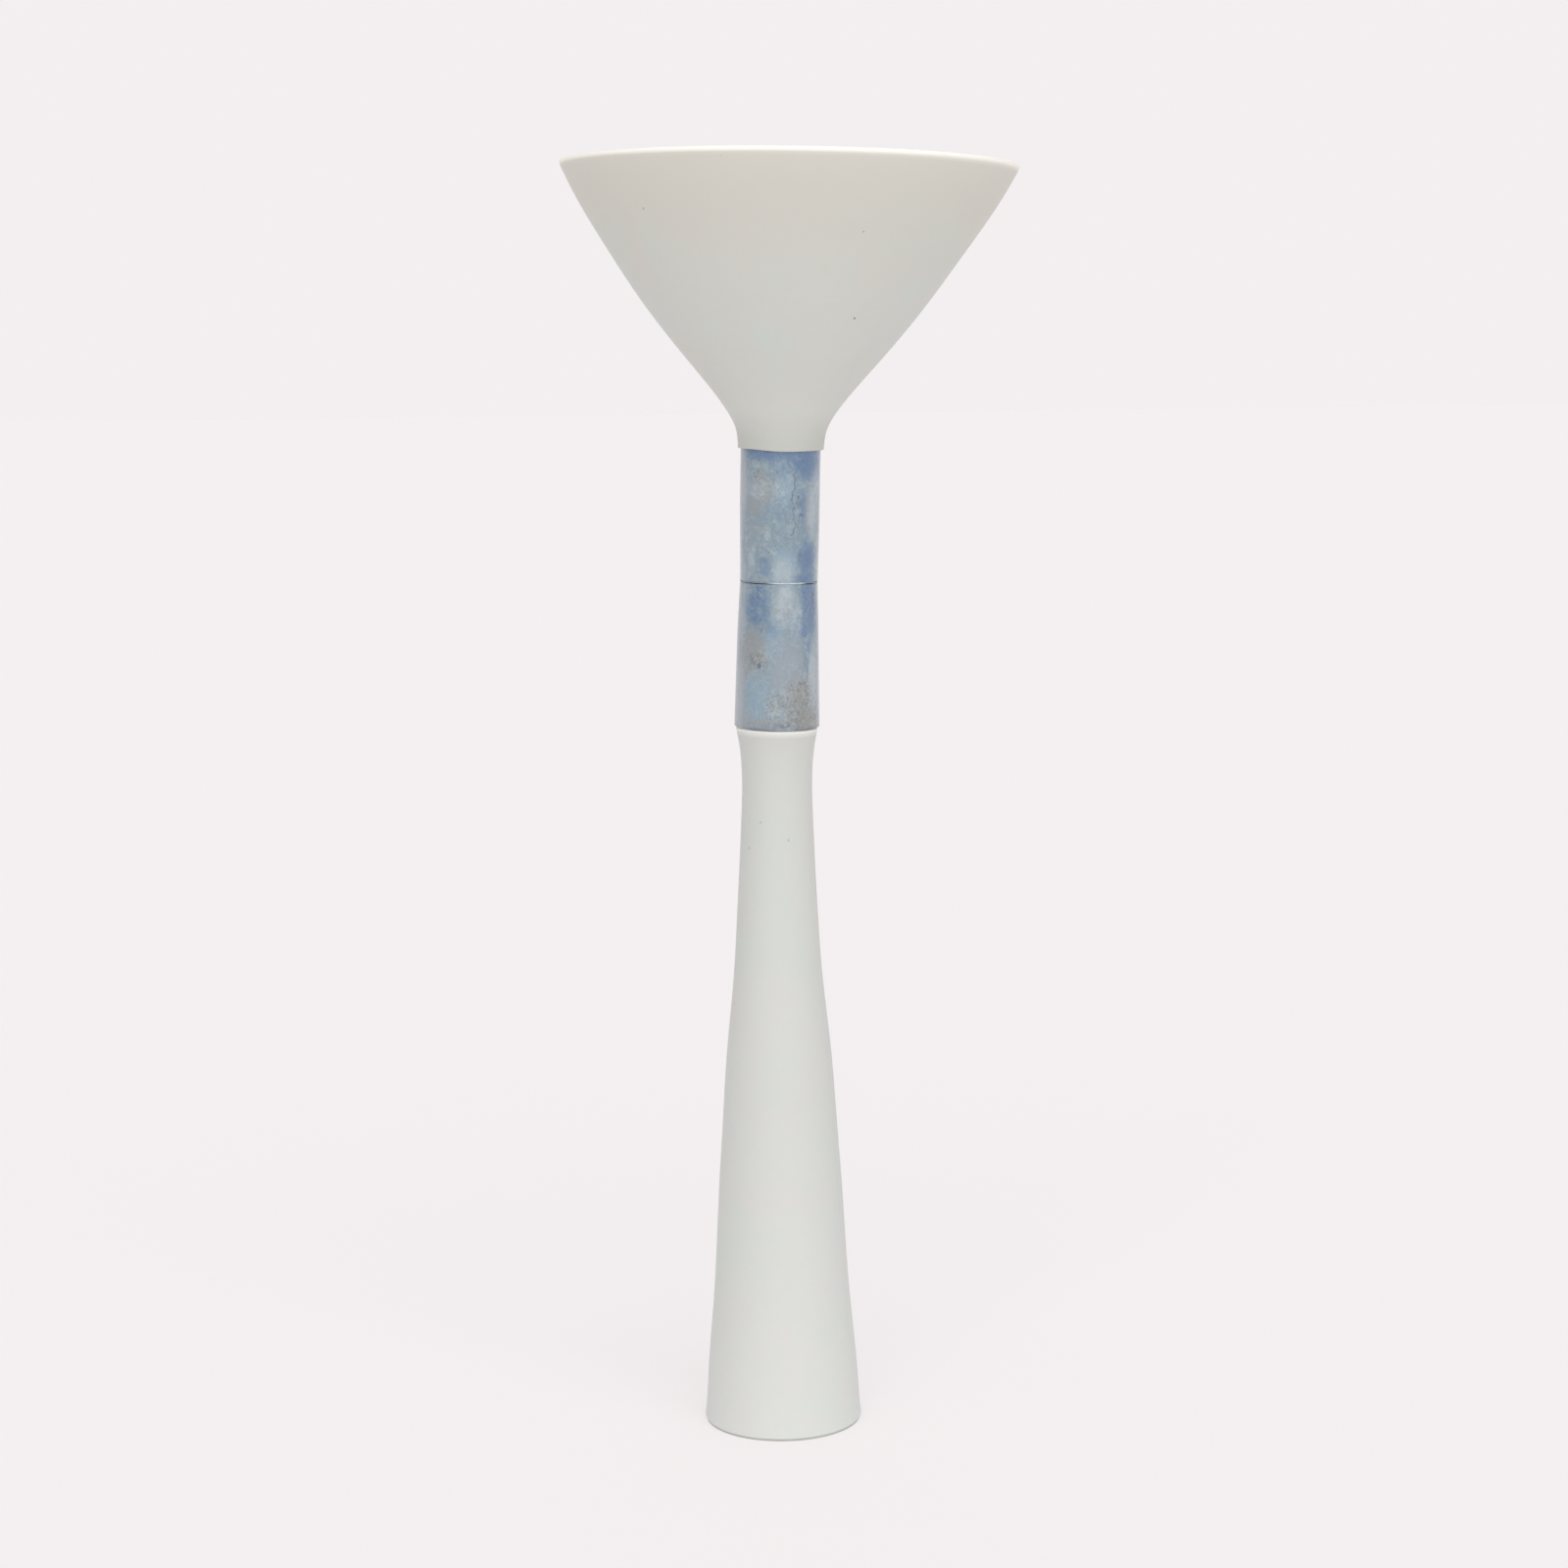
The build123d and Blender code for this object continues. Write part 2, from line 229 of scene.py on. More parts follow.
def piece(name, points, faces, body, material, replaces=()):
    """Fills a mesh, turns its faces outwards by the sign of its volume, and puts it on its body."""
    mesh = bpy.data.meshes.new(name)
    quads = np.array([f for f in faces if len(f) == 4])
    a, b, c, d = (points[quads[:, k]] for k in range(4))
    volume = np.einsum("ij,ij->i", a, np.cross(b, c)) + np.einsum("ij,ij->i", a, np.cross(c, d))
    if volume.sum() < 0:
        faces = [f[::-1] for f in faces]
    mesh.from_pydata((points * MM).tolist(), [], faces)
    mesh.shade_smooth()
    mesh.materials.append(material)
    made = bpy.data.objects.new(name, mesh)
    bpy.context.scene.collection.objects.link(made)
    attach(made, body)
    if replaces:
        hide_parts(*replaces)
    return made


def mark(made, name, values):
    """Stores one number per vertex under that name, for the material to read."""
    layer = made.data.attributes.new(name, "FLOAT", "POINT")
    full = np.zeros(len(made.data.vertices), np.float32)
    full[: values.size] = values.ravel()
    layer.data.foreach_set("value", full)


# ---------------------------------------------------------------- material tools
def linear(colour):
    """An sRGB hex colour, such as "d8dad3", as linear red, green, blue and 1."""
    channels = [int(colour[k : k + 2], 16) / 255 for k in (0, 2, 4)]
    return [c / 12.92 if c <= 0.04045 else ((c + 0.055) / 1.055) ** 2.4 for c in channels] + [1.0]


def add(tree, kind, sockets=None, stops=(), **settings):
    """Adds a node. settings are its own properties. sockets maps an input to a number, a hex colour,
    a socket, or a node whose first live output is meant. stops are a ramp's (position, hex) pairs."""
    made = tree.nodes.new(kind)
    for key, value in settings.items():
        setattr(made, key, value)
    for place, (position, colour) in enumerate(stops):
        elements = made.color_ramp.elements
        element = elements[place] if place < len(elements) else elements.new(position)
        element.position = position
        element.color = linear(colour)
    for key, value in (sockets or {}).items():
        if isinstance(value, bpy.types.Node):
            value = next(output for output in value.outputs if output.enabled)
        if isinstance(value, bpy.types.NodeSocket):
            tree.links.new(value, made.inputs[key])
        else:
            made.inputs[key].default_value = linear(value) if isinstance(value, str) else value
    return made


def per_mm(size):
    """The texture scale whose features are about size millimetres across."""
    return 1 / (size * MM)


def start_material(name, **constants):
    """A new material, its node tree, its one Principled shader with constants set on its own
    sockets, and the object coordinates that its patterns read."""
    material = bpy.data.materials.new(name)
    material.use_nodes = True
    tree = material.node_tree
    shader = tree.nodes["Principled BSDF"]
    for key, value in constants.items():
        shader.inputs[key.replace("_", " ")].default_value = value
    return material, tree, shader, add(tree, "ShaderNodeTexCoord").outputs["Object"]


# ---------------------------------------------------------------- materials
def matt_porcelain(name, painted_shade_tone, body_tone, cool_tone, warm_tone, lip_highlight_tone, warm_edge=None, specks=()):
    """Slip-cast porcelain, fired bare and rubbed smooth: even, chalky-satin, faintly see-through,
    with clouds a shade cooler and warmer and the odd iron speck. The mesh's marks say where it is
    the body tone rather than a darker painted shade, where the thin edge lets light through as a
    painted highlight, and where it is warm.
    specks are single larger ones, as (centre, radius, strength)."""
    material, tree, shader, where = start_material(
        name,
        Roughness=0.5,
        IOR=1.5,
        Specular_IOR_Level=0.35,
        Subsurface_Weight=0.12,
        Subsurface_Radius=(1.0, 0.85, 0.6),
        Subsurface_Scale=0.0015,
    )
    clouds = {"Vector": where, "Scale": per_mm(55), "Detail": 2.0, "Roughness": 0.5}
    cool = add(tree, "ShaderNodeTexNoise", clouds)
    warm = add(tree, "ShaderNodeTexNoise", {**clouds, "Scale": per_mm(38), "Distortion": 0.4})
    soft = {"interpolation_type": "SMOOTHSTEP"}
    cool_part = add(tree, "ShaderNodeMapRange", {0: cool, 1: 0.45, 2: 0.7}, **soft)
    warm_part = add(tree, "ShaderNodeMapRange", {0: warm, 1: 0.48, 2: 0.72}, **soft)
    colour = add(tree, "ShaderNodeMix", {0: cool_part, 6: body_tone, 7: cool_tone}, data_type="RGBA")
    colour = add(tree, "ShaderNodeMix", {0: warm_part, 6: colour, 7: warm_tone}, data_type="RGBA")
    # Faint small mottling, 6 mm across, of bare slip that dried unevenly.
    small = add(tree, "ShaderNodeTexNoise", {**clouds, "Scale": per_mm(6), "Detail": 4.0})
    for start, stop, tone in [(0.5, 0.7, cool_tone), (0.5, 0.3, warm_tone)]:
        part = add(tree, "ShaderNodeMapRange", {0: small, 1: start, 2: stop, 4: 0.5})
        colour = add(tree, "ShaderNodeMix", {0: part, 6: colour, 7: tone}, data_type="RGBA")
    # Painted shade: the colour darkens towards the shade tone where this mark is low.
    painted_light_level = add(tree, "ShaderNodeAttribute", attribute_name="painted_light_level").outputs["Fac"]
    colour = add(tree, "ShaderNodeMix", {0: painted_light_level, 6: painted_shade_tone, 7: colour}, data_type="RGBA")
    if warm_edge:
        warmth = add(tree, "ShaderNodeAttribute", attribute_name="warmth").outputs["Fac"]
        colour = add(tree, "ShaderNodeMix", {0: warmth, 6: colour, 7: warm_edge}, data_type="RGBA")
    # Painted highlight: lips lighten towards the highlight tone.
    lip = add(tree, "ShaderNodeAttribute", attribute_name="lip").outputs["Fac"]
    colour = add(tree, "ShaderNodeMix", {0: lip, 6: colour, 7: lip_highlight_tone}, data_type="RGBA")
    # Iron specks: the cores of a sparse cell pattern, about 0.5 mm across and 25 mm apart.
    cells = add(tree, "ShaderNodeTexVoronoi", {"Vector": where, "Scale": per_mm(25)})
    away = cells.outputs["Distance"]
    dot = add(tree, "ShaderNodeMapRange", {0: away, 1: 0.010, 2: 0.018, 3: 0.35, 4: 0.0})
    colour = add(tree, "ShaderNodeMix", {0: dot, 6: colour, 7: "6f6a62"}, data_type="RGBA")
    for centre, radius, strength in specks:
        apart = add(tree, "ShaderNodeVectorMath", {0: where, 1: centre}, operation="DISTANCE")
        away = apart.outputs["Value"]
        dot = add(tree, "ShaderNodeMapRange", {0: away, 1: radius * 0.4, 2: radius, 3: strength, 4: 0.0})
        colour = add(tree, "ShaderNodeMix", {0: dot, 6: colour, 7: "55524c"}, data_type="RGBA")
    tree.links.new(colour.outputs[2], shader.inputs["Base Color"])
    # The tooth of rubbed bisque, drawn at 0.6 mm because its real 0.1 mm grain is too fine to show.
    tooth = add(tree, "ShaderNodeTexNoise", {"Vector": where, "Scale": per_mm(0.6), "Detail": 2.0})
    bump = add(tree, "ShaderNodeBump", {"Height": tooth, "Strength": 0.05, "Distance": 0.1 * MM})
    tree.links.new(bump.outputs[0], shader.inputs["Normal"])
    return material


def stained_porcelain():
    """Porcelain washed with cobalt: a watery blue-grey ground with lighter and darker clouds, and
    over it soft stains. Where a stain may lie comes from the mesh's marks, and noise at the
    stain's own grain decides how much of it took, so that its edges are ragged like watercolour."""
    material, tree, shader, where = start_material(
        "cobalt_washed_porcelain", Roughness=0.42, IOR=1.5, Coat_Weight=1.0, Coat_Roughness=0.12
    )
    noise = {"Vector": where, "Detail": 4.0, "Roughness": 0.6}
    clouds = add(tree, "ShaderNodeTexNoise", {**noise, "Scale": per_mm(26), "Distortion": 0.6})
    wash = add(tree, "ShaderNodeTexNoise", {**noise, "Scale": per_mm(8), "Distortion": 0.9})
    curds = add(tree, "ShaderNodeTexNoise", {**noise, "Scale": per_mm(3.2), "Distortion": 0.5})
    grain = add(tree, "ShaderNodeTexNoise", {**noise, "Scale": per_mm(1.3), "Roughness": 0.7})
    long_way = add(tree, "ShaderNodeMapping", {"Vector": where, "Scale": (1.0, 1.0, 0.2)})
    runs = add(tree, "ShaderNodeTexNoise", {**noise, "Vector": long_way, "Scale": per_mm(4.5)})
    tones = [(0.32, "70879a"), (0.45, "7d929f"), (0.56, "8698a2"), (0.70, "8e9ca3")]
    colour = add(tree, "ShaderNodeValToRGB", {0: clouds}, stops=tones)
    soft = {"interpolation_type": "SMOOTHSTEP"}
    # Broad tones first, then the fine runs and curds on them, as (driver, from, to, share, tone).
    for driver, start, stop, share, tone in [
        (wash, 0.48, 0.75, 0.50, "6b8296"),
        (wash, 0.50, 0.28, 0.45, "9aaab1"),
        (runs, 0.50, 0.75, 0.45, "66809a"),
        (curds, 0.52, 0.74, 0.60, "6c7c88"),
        (curds, 0.48, 0.28, 0.60, "a2b0b6"),
    ]:
        part = add(tree, "ShaderNodeMapRange", {0: driver, 1: start, 2: stop, 4: share}, **soft)
        colour = add(tree, "ShaderNodeMix", {0: part, 6: colour, 7: tone}, data_type="RGBA")
    # Stains over it, as (mark, tone, driver, how far the driver moves the edge, strength).
    for mark_name, tone, driver, reach, strength in [
        ("sky", "84a0b2", wash, 1.6, 0.75),
        ("taupe", "8e9192", curds, 1.6, 0.85),
        ("lilac", "9299a2", wash, 1.6, 0.8),
        ("cobalt", "5d7d9f", wash, 1.7, 0.88),
        ("cobalt", "48658b", curds, 3.2, 0.42),
        ("pale", "aab8bf", curds, 2.4, 0.75),
        ("crust", "6a6963", grain, 3.8, 0.75),
        ("crust", "a6abaa", curds, -4.0, 0.38),
        # Painted reflection: paler bands down the sleeves' sides.
        ("side_reflection", "a9acb2", curds, 1.6, 0.7),
        ("vein", "43566f", curds, 1.6, 0.85),
    ]:
        place = add(tree, "ShaderNodeAttribute", attribute_name=mark_name).outputs["Fac"]
        ragged = add(tree, "ShaderNodeMath", {0: driver, 1: 0.5}, operation="SUBTRACT")
        ragged = add(tree, "ShaderNodeMath", {0: ragged, 1: reach, 2: place}, operation="MULTIPLY_ADD")
        taken = add(tree, "ShaderNodeMapRange", {0: ragged, 1: 0.0, 2: 1.15, 4: strength}, **soft)
        reached = add(tree, "ShaderNodeMapRange", {0: place, 1: 0.0, 2: 0.5})
        part = add(tree, "ShaderNodeMath", {0: taken, 1: reached}, operation="MULTIPLY")
        colour = add(tree, "ShaderNodeMix", {0: part, 6: colour, 7: tone}, data_type="RGBA")
    # The finest grain: darker and lighter granules, which gather in some places and leave others.
    patches = clouds.outputs["Color"]
    gathered = add(tree, "ShaderNodeMapRange", {0: patches, 1: 0.42, 2: 0.62, 3: 0.1, 4: 0.48})
    for start, stop, tone in [(0.54, 0.72, "586672"), (0.46, 0.30, "b9c2c6")]:
        fleck = add(tree, "ShaderNodeMapRange", {0: grain, 1: start, 2: stop})
        fleck = add(tree, "ShaderNodeMath", {0: fleck, 1: gathered}, operation="MULTIPLY")
        colour = add(tree, "ShaderNodeMix", {0: fleck, 6: colour, 7: tone}, data_type="RGBA")
    # Darker along the sleeves' ends: partly cobalt pooled there, partly painted shade.
    edge = add(tree, "ShaderNodeAttribute", attribute_name="edge").outputs["Fac"]
    colour = add(tree, "ShaderNodeMix", {0: edge, 6: colour, 7: "4b566b"}, data_type="RGBA")
    tree.links.new(colour.outputs[2], shader.inputs["Base Color"])
    bump = add(tree, "ShaderNodeBump", {"Height": curds, "Strength": 0.15, "Distance": 0.15 * MM})
    tree.links.new(bump.outputs[0], shader.inputs["Normal"])
    return material


def seam_material():
    """The white silicone ring in the joint: its upper part shows as a thin pale line, and under it
    the gap's shadow is painted dark, nearly black where the sleeves stand a little open."""
    material, tree, shader, where = start_material("white_silicone_with_painted_joint_shadow", Roughness=0.6)
    bead_fade_and_gap_shadow = add(tree, "ShaderNodeAttribute", attribute_name="bead_fade_and_gap_shadow").outputs["Fac"]
    # The tones run from the white bead to the nearly black painted shadow of the gap.
    tones = [(0.0, "f6fbfd"), (0.5, "74889c"), (1.0, "10151c")]
    colour = add(tree, "ShaderNodeValToRGB", {0: bead_fade_and_gap_shadow}, stops=tones)
    # Glaze has smeared a little on the ring, in patches about 3 mm long.
    smear = add(tree, "ShaderNodeTexNoise", {"Vector": where, "Scale": per_mm(3), "Detail": 3.0})
    part = add(tree, "ShaderNodeMapRange", {0: smear, 1: 0.5, 2: 0.75, 4: 0.4})
    colour = add(tree, "ShaderNodeMix", {0: part, 6: colour, 7: "8fa1ae"}, data_type="RGBA")
    tree.links.new(colour.outputs[2], shader.inputs["Base Color"])
    return material


def speckled(name, base, dark, light, grain_mm, roughness, bump_mm, **constants):
    """A granular stuff, such as rubber or cast iron: a base tone with darker and lighter grains of
    one size, which also roughen the surface."""
    material, tree, shader, where = start_material(name, Roughness=roughness, **constants)
    cells = add(tree, "ShaderNodeTexVoronoi", {"Vector": where, "Scale": per_mm(grain_mm)})
    fine = add(tree, "ShaderNodeTexNoise", {"Vector": where, "Scale": per_mm(grain_mm * 2), "Detail": 4.0})
    colour = add(tree, "ShaderNodeMix", {0: cells.outputs["Color"], 6: dark, 7: light}, data_type="RGBA")
    colour = add(tree, "ShaderNodeMix", {0: fine, 6: colour, 7: base}, data_type="RGBA")
    tree.links.new(colour.outputs[2], shader.inputs["Base Color"])
    bump = add(tree, "ShaderNodeBump", {"Height": fine, "Strength": 0.5, "Distance": bump_mm * MM})
    tree.links.new(bump.outputs[0], shader.inputs["Normal"])
    return material


def glazed_porcelain():
    """Clear-glazed porcelain: glassy, very slightly grey-white, with a faint long orange-peel wave."""
    material, tree, shader, where = start_material(
        "clear_glazed_porcelain", Roughness=0.16, IOR=1.5, Subsurface_Weight=0.1, Subsurface_Scale=0.001
    )
    clouds = add(tree, "ShaderNodeTexNoise", {"Vector": where, "Scale": per_mm(30), "Detail": 3.0})
    colour = add(tree, "ShaderNodeMix", {0: clouds, 6: "e3e4df", 7: "eceae4"}, data_type="RGBA")
    tree.links.new(colour.outputs[2], shader.inputs["Base Color"])
    wave = add(tree, "ShaderNodeTexNoise", {"Vector": where, "Scale": per_mm(4), "Detail": 1.0})
    bump = add(tree, "ShaderNodeBump", {"Height": wave, "Strength": 0.1, "Distance": 0.1 * MM})
    tree.links.new(bump.outputs[0], shader.inputs["Normal"])
    return material


# ---------------------------------------------------------------- funnel bowl
# Half the bowl's section as (radius, height above the collar's edge); the flare's points are the
# shape that the casting took, and every sharp corner is worn round.
bowl_height = 146.3
flare = [
    (22.8, 2.0), (23.7, 8.05), (29.4, 19.3), (38.7, 31.3), (54.1, 49.3),
    (73.4, 73.3), (94.4, 103.3), (113.5, 133.3), (rim_radius - 0.2, bowl_height - 0.8),
]
flare_wall = 3.0
lip_wall = 2.2
plate_seat = 40.0
seat_radius = 42.16
ledge_width = 3.5
collar_bore = 21.55
throat_radius = 11.3
recess_radius = 15.5


def bowl_section():
    """The bowl's closed section: up the outside, over the lip, and down the inside, which keeps
    the wall's thickness along the normal, to the plate's ledge, the floor, the throat and the
    socket."""
    outside = smooth_curve(flare, 110)
    run = np.gradient(outside, axis=0)
    run /= np.hypot(*run.T)[:, None]
    share = ease((outside[:, 1] - 60.0) / (bowl_height - 60.0))[:, None]
    wall = flare_wall + (lip_wall - flare_wall) * share
    inside = (outside + np.stack([-run[:, 1], run[:, 0]], axis=1) * wall)[::-1]
    across = (outside[-1] - inside[0]) / 2
    rise = np.array([-across[1], across[0]])
    turn = np.linspace(0, math.pi, 13)[1:-1, None]
    lip = inside[0] + across + across * np.cos(turn) + rise * np.sin(turn)
    upper = inside[inside[:, 1] > plate_seat + 0.4]
    floor = recess_top - collar_level
    lower = inside[(inside[:, 0] < seat_radius - ledge_width - 0.3) & (inside[:, 1] > floor + 0.8)]
    seat = rounded(
        [
            upper[-1],
            (seat_radius - 0.15, plate_seat),
            (seat_radius - ledge_width, plate_seat),
            (seat_radius - ledge_width, lower[0][1] + 0.6),
            lower[0],
        ],
        [0, 0.2, 0.4, 0.5, 0],
    )
    socket = socket_ceiling - collar_level
    throat = throat_level - collar_level
    bottom = rounded(
        [
            lower[-1],
            (lower[-1][0] - 1.0, floor),
            (recess_radius, floor),
            (recess_radius, throat),
            (throat_radius, throat),
            (throat_radius, socket),
            (collar_bore, socket),
            (collar_bore, 0.0),
            (outside[0][0], 0.0),
            outside[0],
        ],
        [0, 1.5, 0.5, 0.3, 0.4, 0.4, 0.6, 0.45, 0.45, 0],
    )
    return np.vstack([outside, lip, upper, seat[1:-1], lower, spread(bottom[1:-1], 1.2)])


drift_path = smooth_curve([(0, 0), (45, 0.52), (91, 0.80), (121, 1.60), (bowl_height, 2.35)], 60)


def bowl_shape(radius, angle, height):
    """The casting's small unevenness: the collar's edge hangs 0.5 to 2 mm lower and waves, the rim
    is tipped by 0.4 mm, and the outside is out of round by a tenth of a millimetre."""
    up = height / bowl_height
    edge = 1 - ease(height / 9.0)
    near_edge = edge * (radius > collar_bore - 0.1)
    turn = angle - FRONT
    turn = (turn + math.pi) % (2 * math.pi) - math.pi
    drop = 0.65 + 0.15 * np.sin(turn) + 0.1 * np.cos(5 * turn)
    drop = drop + 1.25 * np.exp(-(((turn - 0.15) / 0.96) ** 2))
    height = height - near_edge * drop
    height = height + 0.38 * np.cos(angle) * up**3
    outer = ease((radius - collar_bore) / 1.0)
    radius = radius + outer * up * 0.12 * np.cos(3 * angle + 0.7) + outer * 0.06 * np.cos(7 * angle)
    return radius, height


def place_bowl(radius, angle, height):
    """The bowl stands on the stack's axis and drifts sideways as it rises."""
    drift = np.interp(height, *drift_path.T)
    return on_stack(radius, angle, collar_level + height, drift)


def make_bowl(material):
    """The cone with its collar. Its lip is lightest with a painted highlight, its upper part warm, and its
    collar deepest with painted shade.
    """
    points, faces, _, height = turned(bowl_section(), 320, place_bowl, bowl_shape)
    made = piece("bowl_casting", points, faces, "funnel", material, ["funnel_bowl"])
    below = np.maximum(bowl_height - height, 0)
    # Painted highlight along the rim, with a faint wider band below it.
    mark(made, "lip", np.clip(1.3 * np.exp(-((below / 1.5) ** 2)) + 0.1 * np.exp(-below / 12.0), 0, 1))
    mark(made, "warmth", 0.8 * ease((height - 70.0) / 75.0))
    # Painted shade, darkest at the collar's edge.
    mark(made, "painted_light_level", 0.2 + 0.8 * ease(height / 22.0))
    return made


# ---------------------------------------------------------------- foot
foot_outside = [
    (foot_base_radius, pad_top + 1.2), (42.6, 4.5), (41.6, 16.0), (39.9, 40.0), (37.7, 64.0),
    (35.3, 100.0), (33.3, 136.0), (31.6, 160.5), (28.2, 208.0), (24.4, 244.0), (21.9, 280.0),
    (20.1, 314.0), (19.2, 334.0), (18.7, 350.0), (19.05, 363.3), (19.9, 372.0), (20.9, 378.0),
    (21.65, 381.2),
]
foot_wall = 3.5
ballast_gap = 1.5
chamber_radius = (span("ballast_disc")[1][1] - span("ballast_disc")[0][1]) / 2 + ballast_gap
chamber_top = span("ballast_disc")[1][2] + ballast_gap
floor_top = chamber_top + floor_thickness
spigot_radius = 17.25
neck_bore = 14.5
spigot_height = 14.0
neck_length = 20.0


def foot_section():
    """The foot's section from the axis under the floor, round the foot's edge, up the outside,
    over the shoulder and the spigot, down the neck and the cavity, to the axis above the floor."""
    outside = smooth_curve(foot_outside, 150)
    top = shoulder[2]
    below = rounded(
        [(0.0, chamber_top), (chamber_radius, chamber_top), (chamber_radius, pad_top),
         (foot_base_radius, pad_top), outside[0]],
        [0, 1.0, 0.4, 0.9, 0],
    )
    neck_end = top - neck_length
    cavity = outside[(outside[:, 1] > floor_top + 3) & (outside[:, 1] < neck_end - 2)][::-1]
    cavity = cavity - np.array([foot_wall, 0.0])
    above = rounded(
        [outside[-1], (21.9, top), (spigot_radius, top), (spigot_radius, top + spigot_height),
         (neck_bore, top + spigot_height), (neck_bore, neck_end), cavity[0]],
        [0, 0.9, 0.25, 0.5, 0.4, 0.4, 0],
    )
    floor = rounded([cavity[-1], (cavity[-1][0] + 0.3, floor_top), (0.0, floor_top)], [0, 3.0, 0])
    head = [spread(below[:-1], 6.0), outside, spread(above[1:-1], 3.0)]
    return np.vstack(head + [cavity, spread(floor[1:], 6.0)])


def foot_shape(radius, angle, height):
    """Slow ripples of a tenth of a millimetre, left by the mould's halves and the kiln."""
    outer = ease((radius - 17.5) / 1.0) * ease((height - pad_top - 3) / 20)
    ripple = 0.10 * np.cos(2 * angle + height / 60.0) + 0.05 * np.cos(5 * angle - height / 35.0)
    return radius + outer * ripple * (height < shoulder[2] - 4), height


def make_foot(material):
    """The pedestal. With painted light and shade it is palest at the table and deeper towards the waist,
    and a painted highlight makes it bright at its lip.
    """
    points, faces, _, height = turned(foot_section(), 240, on_foot, foot_shape, poles=True)
    made = piece("foot_casting", points, faces, "base", material, ["pedestal_foot"])
    # Painted light and shade: palest at the table, darkening up to the shoulder.
    levels = [0, 60, 160, 300, 355, 380]
    mark(made, "painted_light_level", np.interp(height, levels, [1.0, 0.85, 0.70, 0.58, 0.48, 0.35]))
    # Painted highlight on the shoulder's lip.
    mark(made, "lip", ease((height - 380.6) / 1.2) * 0.9)
    return made


# ---------------------------------------------------------------- sleeves
register_radius = 17.25
register_bore = 15.0
register_depth = 12.0
register_root = 6.0

# Stains as (layer, degrees from the front, mm above the sleeve's base, half width in degrees,
# half height in mm, strength). Each is a soft bump, and the material's noise makes it ragged. In
# one layer the strongest counts, and "vein" also holds the thin runs.
# One layer, the paler bands down the sleeves' sides, is painted reflection rather than a stain.
stain_layers = ("sky", "taupe", "lilac", "cobalt", "pale", "crust", "side_reflection", "vein")
upper_stains = [
    ("cobalt", 48, 64, 34, 10, 1.15), ("cobalt", -10, 70, 40, 6, 1.35), ("vein", -18, 70, 3.5, 2.4, 0.8),
    # Painted reflection: the paler bands at -63 and 54 degrees, down the sleeve's sides.
    ("side_reflection", -63, 52, 8, 16, 0.8), ("side_reflection", 54, 37, 9, 10, 0.35),
    ("cobalt", -42, 69, 14, 5, 0.9), ("cobalt", 15, 62, 22, 7, 0.6), ("vein", 45, 71, 26, 1.2, 0.45),
    ("taupe", -27, 49, 19, 9, 0.95), ("taupe", -42, 41, 16, 7, 0.8), ("taupe", -37, 28, 14, 6, 0.55),
    ("sky", 8, 50, 16, 12, 0.6), ("cobalt", 34, 40, 7, 9, 0.55), ("lilac", 50, 38, 13, 11, 0.9),
    ("pale", 54, 38, 10, 14, 0.95), ("cobalt", 46, 13, 17, 9, 0.95), ("cobalt", 44, 4, 20, 5, 0.8),
    ("cobalt", -20, 9, 17, 7, 0.5), ("pale", -43, 12, 7, 5, 0.75), ("pale", -40, 17, 4, 3, 0.6),
    ("pale", 7, 6, 17, 7, 0.95), ("sky", 10, 12, 22, 8, 0.6), ("pale", -17, 25, 7, 4, 0.6),
    ("taupe", 2, 10, 6, 3, 0.6), ("vein", -9, 27, 1.6, 7, 0.35), ("vein", -4, 20, 1.4, 6, 0.35),
    ("vein", 18, 46, 1.7, 1.0, 0.9), ("vein", 27, 45, 2.0, 1.2, 0.9), ("vein", 24, 42, 2.4, 1.1, 0.8),
    # Painted reflection too: the tall lilac band at -66 degrees, down the sleeve's left side.
    ("vein", 30, 42, 1.6, 1.3, 0.7), ("vein", 32, 36, 2.2, 1.2, 0.8), ("lilac", -66, 40, 10, 34, 0.6),
    ("cobalt", -62, 20, 12, 14, 0.4), ("pale", 62, 50, 10, 9, 0.8), ("pale", -34, 48.5, 22, 5, 0.65),
    ("pale", -2, 48.5, 20, 5, 0.5),
]
